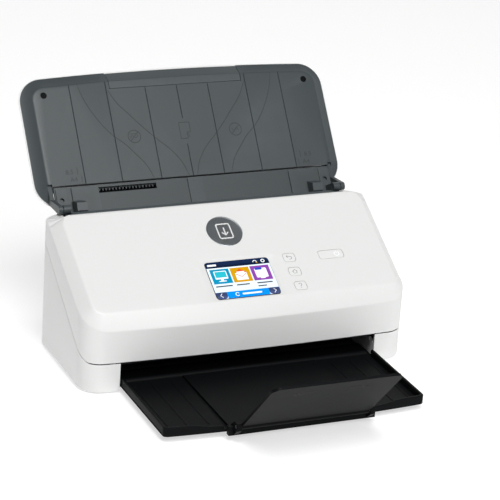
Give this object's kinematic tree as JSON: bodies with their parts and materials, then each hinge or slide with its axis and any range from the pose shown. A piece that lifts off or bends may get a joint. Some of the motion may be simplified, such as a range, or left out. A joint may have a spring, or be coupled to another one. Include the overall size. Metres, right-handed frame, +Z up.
{
  "type": "sheet fed document scanner",
  "caption": "Compact sheet fed document scanner with folding input tray, opening front cover with touch display, and sliding output tray.",
  "frame": {"origin": "under the middle of the whole box, on the desk plane", "axes": "+Z up, +Y to the back, +X to the right of somebody facing the front"},
  "size_m": [0.302, 0.3882, 0.2138],
  "materials": {
    "white_shell": "fine texture",
    "dark_shell": "fine texture",
    "slate": "satin",
    "tray_black": "satin",
    "steel": "rolled",
    "bush": "sintered",
    "sensor": "matt",
    "clear": "clear",
    "board": "lacquer",
    "belt": "matt",
    "grip": "matt",
    "foot": "matt",
    "nylon": "natural",
    "screen": "gloss",
    "badge": "satin",
    "key": "satin"
  },
  "bodies": {
    "base": {"base_shell": "white_shell", "bottom_plate": "dark_shell", "rear_cover": "dark_shell", "paper_ramp": "slate", "feed_bed": "dark_shell", "side_frames": "steel", "shaft_bushes": "bush", "lower_scan_bar": "sensor", "lower_scan_glass": "clear", "main_board": "board", "power_inlet": "sensor", "usb_port": "steel", "network_port": "steel", "drive_motor": "steel", "drive_belt": "belt", "rubber_feet": "foot", "base_screws": "steel", "cover_hinge_pins": "steel"},
    "cover": {"cover_shell": "white_shell", "cover_liner": "slate", "display_panel": "sensor", "display_glass": "screen", "emblem": "badge", "control_board": "board", "upper_scan_bar": "sensor", "upper_scan_glass": "clear"},
    "back_key_body": {"back_key": "key"},
    "home_key_body": {"home_key": "key"},
    "help_key_body": {"help_key": "key"},
    "power_button_body": {"power_button": "key"},
    "latch": {"cover_latch": "white_shell"},
    "input_tray": {"tray_plate": "slate", "tray_back_shell": "white_shell", "tray_hinge_arms": "slate", "tray_screw_caps": "tray_black"},
    "tray_extension_body": {"tray_extension": "slate"},
    "left_guide_body": {"left_guide": "slate"},
    "right_guide_body": {"right_guide": "slate"},
    "guide_pinion_body": {"guide_pinion": "nylon"},
    "out_tray": {"output_tray": "tray_black"},
    "out_extension": {"output_extension": "tray_black", "stop_hinge_pins": "steel"},
    "stop": {"paper_stop": "tray_black"},
    "motor_wheel": {"motor_pulley": "nylon"},
    "pick_wheel": {"pick_shaft": "steel", "pick_tyres": "grip", "pick_pulley": "nylon"},
    "feed_wheel": {"feed_shaft": "steel", "feed_tyres": "grip", "feed_pulley": "nylon"},
    "exit_wheel": {"exit_shaft": "steel", "exit_tyres": "grip", "exit_pulley": "nylon"},
    "separation_wheel": {"separation_roller": "grip"},
    "pinch_wheels": {"pinch_rollers": "grip"},
    "exit_pinch_wheels": {"exit_pinch_rollers": "grip"}
  },
  "joints": [
    {"name": "input_tray_fold", "type": "hinge", "parent": "base", "child": "input_tray", "pos_m": [0, 0.09635, 0.12223], "axis": [1, 0, 0], "range_deg": [0, 157.5]},
    {"name": "tray_extension_slide", "type": "slide", "parent": "input_tray", "child": "tray_extension_body", "axis": [0, 0.6074, 0.7944], "range_m": [0, 0.06]},
    {"name": "cover_open", "type": "hinge", "parent": "base", "child": "cover", "pos_m": [0, -0.01817, 0.0302], "axis": [-1, 0, 0], "range_deg": [-60, 0]},
    {"name": "cover_latch_lift", "type": "slide", "parent": "cover", "child": "latch", "axis": [0, 0, 1], "range_m": [0, 0.003], "stiffness_N_per_m": 600},
    {"name": "back_key_press", "type": "slide", "parent": "cover", "child": "back_key_body", "axis": [0, 0.497, -0.8678], "range_m": [0, 0.0006], "stiffness_N_per_m": 700},
    {"name": "home_key_press", "type": "slide", "parent": "cover", "child": "home_key_body", "axis": [0, 0.497, -0.8678], "range_m": [0, 0.0006], "stiffness_N_per_m": 700},
    {"name": "help_key_press", "type": "slide", "parent": "cover", "child": "help_key_body", "axis": [0, 0.497, -0.8678], "range_m": [0, 0.0006], "stiffness_N_per_m": 700},
    {"name": "power_button_press", "type": "slide", "parent": "cover", "child": "power_button_body", "axis": [0, 0.497, -0.8678], "range_m": [0, 0.0006], "stiffness_N_per_m": 700},
    {"name": "left_guide_slide", "type": "slide", "parent": "base", "child": "left_guide_body", "axis": [1, 0, 0], "range_m": [0, 0.05]},
    {"name": "right_guide_slide", "type": "slide", "parent": "base", "child": "right_guide_body", "axis": [-1, 0, 0], "range_m": [0, 0.05]},
    {"name": "guide_pinion_turn", "type": "hinge", "parent": "base", "child": "guide_pinion_body", "pos_m": [0, 0.11037, 0.11642], "axis": [0, 0.7944, -0.6074], "range_deg": [0, 180]},
    {"name": "output_tray_slide", "type": "slide", "parent": "base", "child": "out_tray", "axis": [0, 1, 0], "range_m": [0, 0.105]},
    {"name": "output_extension_slide", "type": "slide", "parent": "out_tray", "child": "out_extension", "axis": [0, -1, 0], "range_m": [0, 0.06]},
    {"name": "paper_stop_fold", "type": "hinge", "parent": "out_extension", "child": "stop", "pos_m": [0, -0.13867, 0.0146], "axis": [1, 0, 0], "range_deg": [-130.5, 0]},
    {"name": "feed_roller_spin", "type": "hinge", "parent": "base", "child": "feed_wheel", "pos_m": [0, 0.05115, 0.05774], "axis": [1, 0, 0], "continuous": true},
    {"name": "pick_roller_spin", "type": "hinge", "parent": "base", "child": "pick_wheel", "pos_m": [0, 0.08045, 0.0751], "axis": [1, 0, 0], "continuous": true},
    {"name": "exit_roller_spin", "type": "hinge", "parent": "base", "child": "exit_wheel", "pos_m": [0, 0.00195, 0.02697], "axis": [1, 0, 0], "continuous": true},
    {"name": "motor_spin", "type": "hinge", "parent": "base", "child": "motor_wheel", "pos_m": [0, 0.07883, 0.044], "axis": [1, 0, 0], "continuous": true},
    {"name": "separation_roller_spin", "type": "hinge", "parent": "cover", "child": "separation_wheel", "pos_m": [0, 0.0691, 0.09193], "axis": [1, 0, 0], "continuous": true},
    {"name": "pinch_rollers_spin", "type": "hinge", "parent": "cover", "child": "pinch_wheels", "pos_m": [0, 0.04315, 0.0696], "axis": [1, 0, 0], "continuous": true},
    {"name": "exit_pinch_rollers_spin", "type": "hinge", "parent": "cover", "child": "exit_pinch_wheels", "pos_m": [0, -0.00465, 0.03675], "axis": [1, 0, 0], "continuous": true}
  ],
  "couplings": [
    {"joint": "right_guide_slide", "follows": "left_guide_slide", "ratio": 1},
    {"joint": "guide_pinion_turn", "follows": "left_guide_slide", "rad_per_m": 62.5},
    {"joint": "pick_roller_spin", "follows": "feed_roller_spin", "ratio": 0.81818},
    {"joint": "exit_roller_spin", "follows": "feed_roller_spin", "ratio": 1.2857},
    {"joint": "motor_spin", "follows": "feed_roller_spin", "ratio": 1},
    {"joint": "separation_roller_spin", "follows": "feed_roller_spin", "ratio": -1},
    {"joint": "pinch_rollers_spin", "follows": "feed_roller_spin", "ratio": -1.8},
    {"joint": "exit_pinch_rollers_spin", "follows": "feed_roller_spin", "ratio": -2}
  ]
}
